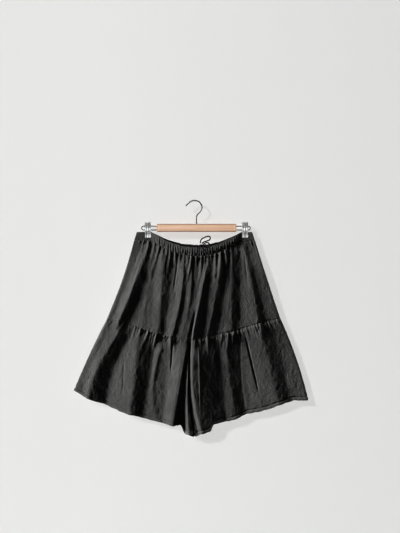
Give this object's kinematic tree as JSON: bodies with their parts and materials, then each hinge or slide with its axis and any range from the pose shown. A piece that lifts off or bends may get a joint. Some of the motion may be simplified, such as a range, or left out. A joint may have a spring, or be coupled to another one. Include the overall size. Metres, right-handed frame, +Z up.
{
  "type": "linen shorts on a wooden clip hanger",
  "caption": "Wide-leg tiered linen shorts with a gathered drawstring waist, hung by the waistband from the clips of a wooden hanger with a wire hook.",
  "frame": {"origin": "inside of the hook's crown, where the hanger rests on a rail", "axes": "+Z up, -Y towards the front of the garment, +X towards the wearer's left leg; the rail runs along Y"},
  "size_m": [0.7029, 0.0729, 0.7068],
  "materials": {
    "linen": "washed charcoal linen, matt",
    "drawstring": "narrow black cotton cord, matt",
    "wood": "plain light wood, satin varnish",
    "hook_wire": "bright steel wire",
    "clip_steel": "pressed nickelled steel"
  },
  "bodies": {
    "root": {"waistband_front": "linen", "waistband_back": "linen", "upper_front_right": "linen", "upper_front_left": "linen", "upper_back_right": "linen", "upper_back_left": "linen", "flounce_front_right": "linen", "flounce_front_left": "linen", "flounce_back_right": "linen", "flounce_back_left": "linen", "drawstring_loop_upper": "drawstring", "drawstring_loop_lower": "drawstring", "drawstring_end_right": "drawstring", "drawstring_end_left": "drawstring", "drawstring_knot": "drawstring", "hanger_bar": "wood", "hanger_hook": "hook_wire", "hanger_loop_right": "hook_wire", "hanger_loop_left": "hook_wire", "clip_right_front_jaw": "clip_steel", "clip_right_back_jaw": "clip_steel", "clip_right_spring": "clip_steel", "clip_left_front_jaw": "clip_steel", "clip_left_back_jaw": "clip_steel", "clip_left_spring": "clip_steel"}
  },
  "joints": []
}
